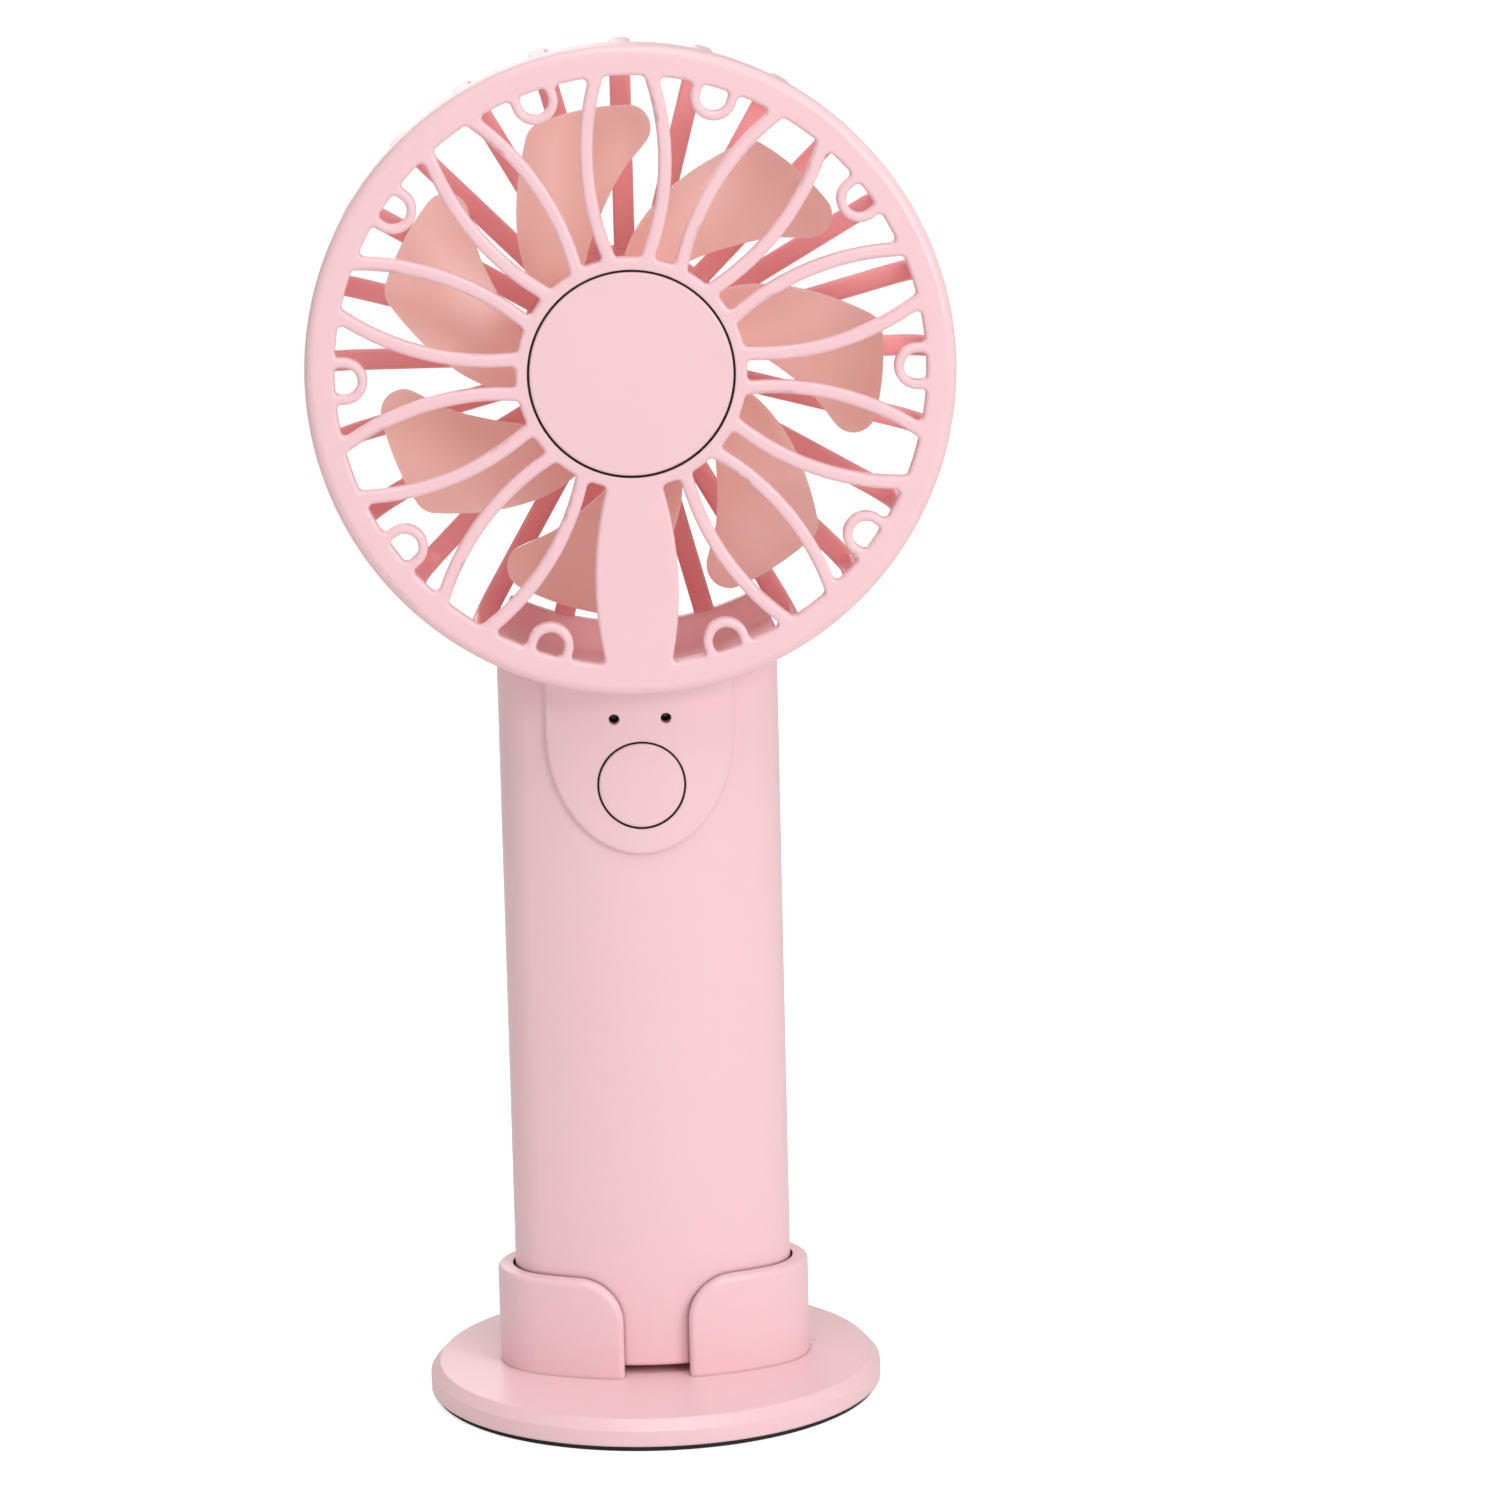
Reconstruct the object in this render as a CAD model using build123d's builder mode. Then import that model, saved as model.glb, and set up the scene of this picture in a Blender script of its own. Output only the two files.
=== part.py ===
from build123d import *
import math
import os

os.makedirs("parts", exist_ok=True)

# Sizes are in millimetres. The origin is the centre of the stand's underside, +Z is up and the
# fan blows towards -Y. "Depth" is the distance forwards, along -Y, from the handle's mid-plane.

# Battery cell and its end pieces, which set the handle's depth and length
cell_diameter = 18.4
cell_length = 65.0
cell_clearance = 0.2
cell_rim = 1.0
tab_thickness = 0.3
tab_width = 6.0
cushion_thickness = 2.4

# Handle tube and its end cap
handle_width = 40.0
handle_side_radius = 7.5
handle_wall = 1.5
cap_recess = 0.5
cap_thickness = 2.0
cap_clearance = 0.1
foot_round = 0.6

# Circuit board and what stands on it
board_width = 20.0
board_height = 20.0
board_thickness = 1.0
board_gap = 6.3
board_headroom = 2.2
board_back_room = 7.4
board_screw_x = 7.5
board_screw_z = 7.0
screw_radius = 0.85
screw_hole_clearance = 0.1
screw_length = 5.0
screw_head_radius = 1.6
screw_head_height = 1.1
screw_boss_radius = 2.1
switch_size = 6.0
switch_height = 3.5
plunger_radius = 1.7
plunger_clearance = 0.12
plunger_sink = 1.2
led_radius = 1.5
led_length = 5.0
led_leg = 0.4
led_leg_spread = 1.27
led_spacing = 7.3
led_hole_radius = 0.75
led_gap = 0.6

# Charging port, to the size of a standard micro-USB receptacle
port_width = 7.5
port_height = 2.9
port_shell = 0.3
port_corner = 1.0
port_tongue_width = 3.7
port_tongue_height = 0.6
port_setback = 0.6
port_clearance = 0.3

# Head: front cover and rear grille
ring_radius = 45.0
ring_face = 4.15
ring_round = 1.4
ring_proud = 6.1
back_proud = 2.1
face_thickness = 2.4
seam_gap = 0.12
lip_length = 1.8
lip_thickness = 1.0
lip_clearance = 0.1
cage_wall = 2.0
cage_corner = 6.0
cage_band = 4.0
spoke_count = 24
spoke_width = 3.0
back_hub_radius = 15.5
closed_angle = 27.0
closed_radius = 40.0
channel_spoke_width = 6.0
neck_depth = 4.0
neck_length = 2.6
neck_wall = 1.3
neck_clearance = 0.12
edge_round = 0.55

# Petals of the front cover
petal_count = 10
petal_rib = 1.8
petal_root = 2.3
petal_middle = 5.4
petal_end = 3.4
solid_root = 3.7
solid_middle = 5.8
solid_end = 4.3
loop_width = 6.4
loop_depth = 4.5
loop_strand = 1.3
junction_round = 0.7
hub_ring = 1.9
hub_cap_radius = 14.1
hub_cap_gap = 0.3
hub_cap_thickness = 1.4
hub_floor = 1.6

# Tongue below the ring, with the button and the two indicator holes
tongue_half_width = 13.35
tongue_reach = 23.7
tongue_curve = 17.0
tongue_rise = 0.7
tongue_ledge = 1.2
tongue_clearance = 0.1
tongue_blend = 3.4
tongue_round = 0.55
button_drop = 13.7
button_radius = 6.0
button_gap = 0.28
button_proud = 0.1
button_flange = 1.0
button_flange_thickness = 0.9
button_travel = 0.5
button_play = 0.1
led_drop = 4.2

# Motor
can_radius = 10.2
can_length = 14.4
can_wall = 0.7
seat_clearance = 0.08
seat_wall = 1.4
seat_height = 5.5
end_cap_thickness = 1.8
shaft_radius = 1.0
shaft_clearance = 0.03
bush_radius = 2.4
bush_length = 2.2
magnet_thickness = 1.6
magnet_angle = 130.0
magnet_length = 7.6
core_gap = 0.35
core_length = 5.2
pole_count = 3
pole_neck = 2.4
pole_tip_angle = 86.0
pole_tip_thickness = 1.3
winding_width = 3.6
commutator_radius = 2.6
commutator_length = 2.0
brush_thickness = 0.3
brush_width = 1.6
brush_gap = 0.05
winding_play = 0.3
terminal_width = 0.8
terminal_thickness = 0.5
terminal_reach = 1.2
lead_radius = 0.45
lead_spacing = 1.4
lead_play = 0.25
lead_turn_inset = 3.0
terminal_drop = 6.5
lead_drop = 2.0
motor_lead_bends = (5.2, 3.0)
battery_lead_bends = (1.4, 1.8, 1.8)
battery_lead_offset = 1.8
lead_overlap = 3.0
battery_lead_x = 4.0
chip_x = 6.8
chip_width = 3.9
chip_length = 4.9
chip_height = 1.5
winding_overhang = 1.1

# Impeller
blade_count = 7
blade_thickness = 1.0
blade_tip_clearance = 5.0
blade_corner = 3.2
blade_overrun = 1.0
impeller_hub_radius = 14.0
impeller_hub_wall = 1.2
impeller_hub_length = 12.0
impeller_hub_gap = 2.6
impeller_boss_radius = 3.0
impeller_boss_length = 5.5
blade_root_reach = 5.0

# Blade sections as camber arcs: (across, distance behind the hub's front) at the root and the tip
root_camber = ((-17.0, 1.5), (-8.0, 9.5), (3.0, 13.5))
tip_camber = ((-20.0, 4.5), (-5.0, 10.3), (10.0, 13.0))

# Blade outline seen from the front: (reach, swing), where reach is 0 at the hub and 1 at the tip,
# and swing is the angle in degrees clockwise from the top
leading_edge = ((-0.15, -57.0), (0.3, -44.8), (0.66, -32.0), (1.0, -21.5))
blade_tip_swing = -8.0
trailing_edge = ((1.0, 8.0), (0.78, 6.3), (0.62, 1.1), (0.39, -6.6), (0.2, -14.5), (-0.15, -38.0))

# Stand
base_radius = 32.8
base_thickness = 3.7
base_bevel_height = 1.5
base_bevel_run = 1.4
pad_thickness = 0.8
pad_inset = 0.6
ledge_height = 1.2
ledge_width = 3.0
cup_depth = 13.1
cup_wall = 2.2
cup_clearance = 0.35
cup_round = 0.8
notch_half_width = 4.7
notch_round = 6.3

# Heights that follow from the pieces stacked in the handle
base_top = pad_thickness + base_thickness
handle_foot = base_top + ledge_height
cell_bottom = handle_foot + cap_recess + cap_thickness + cushion_thickness + tab_thickness
cell_top = cell_bottom + cell_length
board_bottom = cell_top + tab_thickness + board_gap
board_middle = board_bottom + board_height / 2
ring_bottom = board_bottom + board_height + board_headroom
head_height = ring_bottom + ring_radius
button_height = ring_bottom - button_drop
led_height = ring_bottom - led_drop
tongue_bottom = ring_bottom - tongue_reach

# Depths that follow from the cell and the walls around it
handle_depth = cell_diameter + 2 * (cell_clearance + handle_wall)
handle_front = handle_depth / 2
inner_front = handle_front - handle_wall
oval_run = handle_width / 2 - handle_side_radius
oval_radius = (oval_run**2 + handle_front**2 - handle_side_radius**2) / (
    2 * (handle_front - handle_side_radius)
)
oval_drop = oval_radius - handle_front
tongue_front = handle_front + tongue_rise
head_front = handle_front + ring_proud
head_back = -(handle_front + back_proud)
seam_depth = handle_front + seam_gap
board_back = -(inner_front - board_back_room)
board_front = board_back + board_thickness
button_back = inner_front - button_play - button_flange_thickness

# Radii and depths in the head
ring_inner = ring_radius - ring_face
cage_inner = ring_radius - cage_wall
hub_ring_radius = hub_cap_radius + hub_ring
seat_floor = head_back + cage_wall
motor_rear = seat_floor + seat_clearance
motor_front = motor_rear + can_length
hub_front = head_front - face_thickness - hub_floor - impeller_hub_gap
hub_rear = hub_front - impeller_hub_length
impeller_radius = ring_inner - blade_tip_clearance
lip_outer = cage_inner - lip_clearance
lip_inner = lip_outer - lip_thickness
chin_rear = math.sqrt(oval_radius**2 - tongue_half_width**2) - oval_drop - handle_wall
channel_depth = 2 * lead_radius + lead_play / 2
channel_width = lead_spacing + 2 * (lead_radius + lead_play)
lead_depth = board_back - lead_radius
lead_turn = ring_radius - cage_corner - lead_turn_inset

# Planes and axes of the head: +Z of head_plane points forwards, and section_plane has the radius
# along its X and the depth along its Y.
head_plane = Plane(origin=(0, 0, head_height), x_dir=(1, 0, 0), z_dir=(0, -1, 0))
section_plane = Plane(origin=(0, 0, head_height), x_dir=(1, 0, 0), z_dir=(0, 0, -1))
head_axis = Axis((0, 0, head_height), (0, -1, 0))
front_plane = Plane(origin=(0, 0, 0), x_dir=(1, 0, 0), z_dir=(0, -1, 0))


def save(builder, name):
    builder.part.label = name
    export_step(builder.part, f"parts/{name}.step")


def front_depth(across):
    # Depth of the handle's front surface at a distance across from its middle
    return math.sqrt(oval_radius**2 - across**2) - oval_drop


def handle_oval(grow):
    # Four tangent arcs: two small ones round the sides, two large ones across front and back.
    half_width = handle_width / 2
    joint_x = oval_run * oval_radius / math.hypot(oval_run, oval_drop)
    joint_y = front_depth(joint_x)
    with BuildSketch(mode=Mode.PRIVATE) as oval:
        with BuildLine():
            ThreePointArc((joint_x, joint_y), (half_width, 0), (joint_x, -joint_y))
            ThreePointArc((joint_x, -joint_y), (0, -handle_front), (-joint_x, -joint_y))
            ThreePointArc((-joint_x, -joint_y), (-half_width, 0), (-joint_x, joint_y))
            ThreePointArc((-joint_x, joint_y), (0, handle_front), (joint_x, joint_y))
        make_face()
        if grow:
            offset(amount=grow)
    return oval.sketch


def tongue_outline(inset):
    # Straight sides that end in half an ellipse, in X and Z; it runs up behind the ring.
    half_width = tongue_half_width - inset
    centre = tongue_bottom + tongue_curve
    top = ring_bottom + ring_face
    with BuildSketch(mode=Mode.PRIVATE) as outline:
        with Locations((0, centre)):
            Ellipse(half_width, tongue_curve - inset)
        with Locations((0, (centre + top) / 2)):
            Rectangle(2 * half_width, top - centre)
    return outline.sketch


def port_outline(grow):
    # The charging port's section, for its shell, its hollow and the opening that it sits in
    return RectangleRounded(port_width + 2 * grow, port_height + 2 * grow, port_corner + grow)


def head_ring(inner, outer, rear, front):
    # A plain ring about the head's axis between two depths.
    with BuildPart(mode=Mode.PRIVATE) as ring:
        with BuildSketch(head_plane.offset(rear)):
            Circle(outer)
            if inner:
                Circle(inner, mode=Mode.SUBTRACT)
        extrude(amount=front - rear)
    return ring.part


def head_turning(grow, front):
    # The head's outer shape turned about its axis, from the rounded back up to a given depth.
    radius = ring_radius + grow
    knee = ring_radius - cage_corner
    back = head_back - grow
    with BuildPart(mode=Mode.PRIVATE) as turning:
        with BuildSketch(section_plane):
            with BuildLine():
                Line((0, back), (knee, back))
                RadiusArc((knee, back), (radius, head_back + cage_corner), -(cage_corner + grow))
                Polyline((radius, head_back + cage_corner), (radius, front), (0, front), (0, back))
            make_face()
        revolve(axis=head_axis)
    return turning.part


def on_cup_outside(edge):
    # True for the cup's outer edges above its foot: round the rim, and down both sides of the notch.
    middle = edge.position_at(0.5)
    outside = cup_clearance + cup_wall
    reach = oval_radius + outside - seam_gap
    across = abs(middle.X)
    on_front = across < oval_run and math.hypot(across, abs(middle.Y) + oval_drop) > reach
    on_side = math.hypot(across - oval_run, middle.Y) > handle_side_radius + outside - seam_gap
    return middle.Z > base_top + seam_gap and (on_front or (across >= oval_run and on_side))


# Stand: a disc with an oval cup, open at the front in a round-shouldered notch.
with BuildPart() as stand_base:
    with BuildSketch(Plane.XY.offset(pad_thickness)):
        Circle(base_radius)
    extrude(amount=base_thickness)
    chamfer(
        stand_base.edges().filter_by(GeomType.CIRCLE).sort_by(Axis.Z)[-1],
        length=base_bevel_height,
        length2=base_bevel_run,
    )
    with BuildSketch(Plane.XY.offset(base_top)):
        add(handle_oval(cup_clearance + cup_wall))
    extrude(amount=ledge_height + cup_depth)
    with BuildSketch(Plane.XY.offset(handle_foot)):
        add(handle_oval(cup_clearance))
    extrude(amount=cup_depth, mode=Mode.SUBTRACT)
    with BuildSketch(Plane.XY.offset(base_top)):
        add(handle_oval(cup_clearance - ledge_width))
    extrude(amount=ledge_height, mode=Mode.SUBTRACT)
    cup_top = handle_foot + cup_depth
    shoulder = cup_top - notch_round
    with BuildSketch(front_plane):
        with BuildLine():
            Line((-notch_half_width, base_top), (notch_half_width, base_top))
            Line((notch_half_width, base_top), (notch_half_width, shoulder))
            RadiusArc(
                (notch_half_width, shoulder), (notch_half_width + notch_round, cup_top), notch_round
            )
            Line((notch_half_width + notch_round, cup_top), (-notch_half_width - notch_round, cup_top))
            RadiusArc(
                (-notch_half_width - notch_round, cup_top), (-notch_half_width, shoulder), notch_round
            )
            Line((-notch_half_width, shoulder), (-notch_half_width, base_top))
        make_face()
    extrude(amount=handle_front + cup_clearance + cup_wall + 1, mode=Mode.SUBTRACT)
    fillet(stand_base.edges().filter_by(on_cup_outside), radius=cup_round)
save(stand_base, "stand_base")

with BuildPart() as anti_slip_pad:
    with BuildSketch():
        Circle(base_radius - pad_inset)
    extrude(amount=pad_thickness)
save(anti_slip_pad, "anti_slip_pad")

# Handle: an oval tube with a window at the top of its front and posts for the circuit board.
with BuildPart() as handle_tube:
    tube_top = head_height
    with BuildSketch(Plane.XY.offset(handle_foot)):
        add(handle_oval(0))
    extrude(amount=tube_top - handle_foot)
    fillet(handle_tube.edges().group_by(Axis.Z)[0], radius=foot_round)
    with BuildSketch(Plane.XY.offset(handle_foot)):
        add(handle_oval(-handle_wall))
    extrude(amount=tube_top - handle_foot, mode=Mode.SUBTRACT)
    with BuildSketch(front_plane):
        add(tongue_outline(tongue_ledge))
        with Locations((0, (ring_bottom + tube_top) / 2)):
            Rectangle(2 * (tongue_half_width - tongue_ledge), tube_top - ring_bottom)
    extrude(amount=tongue_front, mode=Mode.SUBTRACT)
    with BuildSketch(front_plane.offset(board_back)):
        with Locations((0, board_middle)):
            with GridLocations(2 * board_screw_x, 2 * board_screw_z, 2, 2):
                Circle(screw_boss_radius)
    extrude(until=Until.LAST, dir=(0, 1, 0))
    with BuildSketch(front_plane.offset(board_back)):
        with Locations((0, board_middle)):
            with GridLocations(2 * board_screw_x, 2 * board_screw_z, 2, 2):
                Circle(screw_radius + screw_hole_clearance / 2)
    extrude(amount=-(screw_length + screw_hole_clearance), mode=Mode.SUBTRACT)
    with BuildSketch(front_plane):
        with Locations((0, board_middle)):
            port_outline(port_clearance)
    extrude(amount=-handle_front - 1, mode=Mode.SUBTRACT)
    add(head_turning(seam_gap, head_front), mode=Mode.SUBTRACT)
save(handle_tube, "handle_tube")

# End cap: a plate that closes the tube's foot, with a skirt that grips inside it.
with BuildPart() as handle_end_cap:
    cap_oval = handle_oval(-handle_wall - cap_clearance)
    with BuildSketch(Plane.XY.offset(handle_foot + cap_recess)):
        add(cap_oval)
    extrude(amount=cap_thickness + cushion_thickness)
    with BuildSketch(Plane.XY.offset(handle_foot + cap_recess + cap_thickness)):
        offset(cap_oval, amount=-cap_thickness / 2)
    extrude(amount=cushion_thickness, mode=Mode.SUBTRACT)
save(handle_end_cap, "handle_end_cap")

# Battery cell with its foam cushion, contact tabs and leads
with BuildPart() as cell_cushion:
    with BuildSketch(Plane.XY.offset(handle_foot + cap_recess + cap_thickness)):
        Circle(cell_diameter / 2 - cap_thickness)
    extrude(amount=cushion_thickness)
save(cell_cushion, "cell_cushion")

with BuildPart() as battery_cell:
    with BuildSketch(Plane.XY.offset(cell_bottom)):
        Circle(cell_diameter / 2)
    extrude(amount=cell_length)
    fillet(battery_cell.edges().filter_by(GeomType.CIRCLE), radius=cell_rim)
save(battery_cell, "battery_cell")

with BuildPart() as cell_tabs:
    for level in (cell_bottom - tab_thickness, cell_top):
        with BuildSketch(Plane.XY.offset(level)):
            Rectangle(cell_diameter - 2 * cell_rim, tab_width)
        extrude(amount=tab_thickness)
save(cell_tabs, "cell_tabs")

# Circuit board, with holes for its four screws
with BuildPart() as circuit_board:
    with BuildSketch(front_plane.offset(board_back)):
        with Locations((0, board_middle)):
            RectangleRounded(board_width, board_height, screw_radius)
            with GridLocations(2 * board_screw_x, 2 * board_screw_z, 2, 2):
                Circle(screw_radius + screw_hole_clearance, mode=Mode.SUBTRACT)
    extrude(amount=board_thickness)
save(circuit_board, "circuit_board")

with BuildPart() as board_screws:
    with BuildSketch(front_plane.offset(board_front - screw_length)):
        with Locations((0, board_middle)):
            with GridLocations(2 * board_screw_x, 2 * board_screw_z, 2, 2):
                Circle(screw_radius)
    extrude(amount=screw_length)
    with BuildSketch(front_plane.offset(board_front)):
        with Locations((0, board_middle)):
            with GridLocations(2 * board_screw_x, 2 * board_screw_z, 2, 2):
                Circle(screw_head_radius)
    extrude(amount=screw_head_height)
    with BuildSketch(front_plane.offset(board_front + screw_head_height)):
        with Locations((0, board_middle)):
            with GridLocations(2 * board_screw_x, 2 * board_screw_z, 2, 2):
                for turn in (0, 90):
                    Rectangle(1.5 * screw_head_radius, screw_radius / 2, rotation=turn)
    extrude(amount=-screw_head_height / 2, mode=Mode.SUBTRACT)
save(board_screws, "board_screws")

# Push switch behind the button: a square body and a plunger that the button presses
switch_front = board_front + switch_height
with BuildPart() as switch_body:
    with BuildSketch(front_plane.offset(board_front)):
        with Locations((0, button_height)):
            RectangleRounded(switch_size, switch_size, switch_size / 10)
    extrude(amount=switch_height)
    with BuildSketch(front_plane.offset(switch_front)):
        with Locations((0, button_height)):
            Circle(plunger_radius + plunger_clearance)
    extrude(amount=-(plunger_sink + button_travel + button_play), mode=Mode.SUBTRACT)
save(switch_body, "switch_body")

with BuildPart() as switch_plunger:
    with BuildSketch(front_plane.offset(switch_front - plunger_sink)):
        with Locations((0, button_height)):
            Circle(plunger_radius)
    extrude(amount=button_back - switch_front + plunger_sink)
save(switch_plunger, "switch_plunger")

# Two indicator diodes on legs, behind the holes in the tongue
led_front = inner_front - led_gap
with BuildPart() as indicator_leds:
    with BuildSketch(front_plane.offset(led_front - led_length)):
        with Locations((0, led_height)):
            with GridLocations(led_spacing, 1, 2, 1):
                Circle(led_radius)
    extrude(amount=led_length)
    fillet(indicator_leds.edges().filter_by(GeomType.CIRCLE).group_by(Axis.Y)[0], radius=0.9 * led_radius)
    with BuildSketch(front_plane.offset(board_front)):
        with Locations((0, led_height)):
            with GridLocations(led_spacing, 1, 2, 1):
                with GridLocations(led_leg_spread, 1, 2, 1):
                    Rectangle(led_leg, led_leg)
    extrude(amount=led_front - led_length - board_front)
save(indicator_leds, "indicator_leds")

# Charging port: a steel shell that opens at the back of the handle, round a plastic tongue
port_mouth = -(handle_front - port_setback)
with BuildPart() as charging_port:
    with BuildSketch(front_plane.offset(port_mouth)):
        with Locations((0, board_middle)):
            port_outline(0)
    extrude(amount=board_back - port_mouth)
    with BuildSketch(front_plane.offset(port_mouth)):
        with Locations((0, board_middle)):
            port_outline(-port_shell)
    extrude(amount=board_back - port_mouth - port_shell, mode=Mode.SUBTRACT)
save(charging_port, "charging_port")

with BuildPart() as port_tongue:
    with BuildSketch(front_plane.offset(board_back - port_shell)):
        with Locations((0, board_middle)):
            Rectangle(port_width - 2 * port_corner, port_height - 4 * port_shell)
    extrude(amount=-(board_back - port_mouth) / 3)
    with BuildSketch(front_plane.offset(board_back - port_shell)):
        with Locations((0, board_middle)):
            Rectangle(port_tongue_width, port_tongue_height)
    extrude(amount=-(board_back - port_mouth - 3 * port_shell))
save(port_tongue, "port_tongue")

# Rear grille: a cage turned about the head's axis, cut into spokes that wrap over its rim. It is
# closed round the hub and above the handle, and has a neck that plugs into the tube.
with BuildPart() as rear_grille:
    seat_radius = can_radius + seat_clearance
    cage_front = seam_depth - seam_gap
    add(head_turning(0, cage_front))
    add(head_turning(-cage_wall, head_front), mode=Mode.SUBTRACT)
    with BuildSketch(head_plane.offset(head_back)):
        Circle(2 * ring_radius)
        Circle(closed_radius, mode=Mode.SUBTRACT)
        with BuildLine():
            Polyline(
                (0, 0),
                (2 * ring_radius * math.tan(math.radians(closed_angle)), -2 * ring_radius),
                (-2 * ring_radius * math.tan(math.radians(closed_angle)), -2 * ring_radius),
                close=True,
            )
        make_face(mode=Mode.INTERSECT)
        Circle(back_hub_radius)
        with PolarLocations(0, spoke_count, start_angle=90):
            Rectangle(2 * ring_radius, spoke_width, align=(Align.MIN, Align.CENTER))
        with Locations((0, -ring_radius / 2)):
            Rectangle(channel_spoke_width, ring_radius)
    extrude(amount=cage_front - head_back, mode=Mode.INTERSECT)
    add(head_ring(cage_inner, ring_radius, cage_front - cage_band, cage_front))
    # The neck is an oval sleeve inside the tube, open where the tube has its window.
    with BuildSketch(Plane.XY.offset(ring_bottom - neck_length)):
        add(handle_oval(-handle_wall - neck_clearance))
        add(handle_oval(-handle_wall - neck_clearance - neck_wall), mode=Mode.SUBTRACT)
        with Locations((0, -handle_front)):
            Rectangle(handle_width, 2 * (handle_front - neck_depth), mode=Mode.SUBTRACT)
    extrude(amount=neck_length + ring_face)
    add(head_turning(-cage_wall, head_front), mode=Mode.SUBTRACT)
    add(head_ring(seat_radius, seat_radius + seat_wall, seat_floor, seat_floor + seat_height))
    # Cuts for the front cover's chin, for the leads' channel and for their way into the handle
    with BuildSketch(head_plane.offset(chin_rear - seam_gap)):
        with Locations((0, -ring_radius)):
            Rectangle(2 * (tongue_half_width + seam_gap), ring_radius)
    extrude(amount=head_front, mode=Mode.SUBTRACT)
    with BuildSketch(head_plane.offset(seat_floor)):
        with Locations((0, -(terminal_drop + lead_turn) / 2)):
            Rectangle(channel_width, lead_turn - terminal_drop + 2 * terminal_reach)
    extrude(amount=-channel_depth, mode=Mode.SUBTRACT)
    with BuildSketch(Plane.XY.offset(head_height - lead_turn)):
        with Locations((0, -lead_depth + channel_width / 2)):
            Rectangle(channel_width, 2 * channel_width)
    extrude(amount=lead_turn - ring_radius - channel_depth, mode=Mode.SUBTRACT)
save(rear_grille, "rear_grille")

# Front cover: one moulding with the ring, its petals and loops, the hub and the tongue below.
petal_pitch = 360 / petal_count
petal_start = hub_ring_radius - petal_rib / 2
petal_stop = ring_inner + petal_rib / 2
petal_centre = (hub_ring_radius + ring_inner) / 2 + petal_rib

with BuildSketch() as open_petal:
    for side in (-1, 1):
        with BuildLine(mode=Mode.PRIVATE) as rib_line:
            ThreePointArc(
                (petal_start, side * petal_root),
                (petal_centre, side * petal_middle),
                (petal_stop, side * petal_end),
            )
        SlotArc(rib_line.line.edge(), petal_rib)

with BuildSketch() as solid_petal:
    with BuildLine():
        ThreePointArc((petal_start, solid_root), (petal_centre, solid_middle), (petal_stop, solid_end))
        Line((petal_stop, solid_end), (petal_stop, -solid_end))
        ThreePointArc((petal_stop, -solid_end), (petal_centre, -solid_middle), (petal_start, -solid_root))
        Line((petal_start, -solid_root), (petal_start, solid_root))
    make_face()

with BuildSketch() as loop:
    loop_centre = ring_inner - loop_depth + loop_width / 2
    loop_run = ring_inner + loop_strand / 2 - loop_centre
    for width, mode in ((loop_width, Mode.ADD), (loop_width - 2 * loop_strand, Mode.SUBTRACT)):
        with Locations((loop_centre, 0)):
            Circle(width / 2, mode=mode)
            Rectangle(loop_run, width, align=(Align.MIN, Align.CENTER), mode=mode)

with BuildPart() as tongue:
    with BuildSketch(Plane.XY.offset(tongue_bottom)):
        add(handle_oval(tongue_rise))
        add(handle_oval(0), mode=Mode.SUBTRACT)
    extrude(amount=tongue_reach + ring_face)
    with BuildSketch(front_plane):
        add(tongue_outline(0))
    extrude(amount=head_front, mode=Mode.INTERSECT)

with BuildPart() as tongue_plug:
    with BuildSketch(Plane.XY.offset(tongue_bottom)):
        add(handle_oval(0))
        add(handle_oval(-handle_wall), mode=Mode.SUBTRACT)
    extrude(amount=tongue_reach + ring_face)
    with BuildSketch(front_plane):
        add(tongue_outline(tongue_ledge + tongue_clearance))
    extrude(amount=head_front, mode=Mode.INTERSECT)

with BuildPart() as chin:
    add(head_ring(lip_inner, ring_radius, chin_rear, head_front - face_thickness))
    with BuildSketch(front_plane):
        add(tongue_outline(0))
    extrude(amount=head_front, mode=Mode.INTERSECT)

def on_tongue_rim(edge):
    # True for the front outline of the tongue, which stands above the handle's own surface.
    middle = edge.position_at(0.5)
    below_blend = middle.Z < ring_bottom - tongue_blend / 2
    return below_blend and -middle.Y > front_depth(middle.X) + 0.75 * tongue_rise


def under_ring(edge):
    # True for the line where the ring's rim meets the tongue's front.
    middle = edge.position_at(0.5)
    on_front = abs(middle.Y + tongue_front) < seam_gap
    return on_front and abs(middle.Z - ring_bottom) < seam_gap


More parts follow.
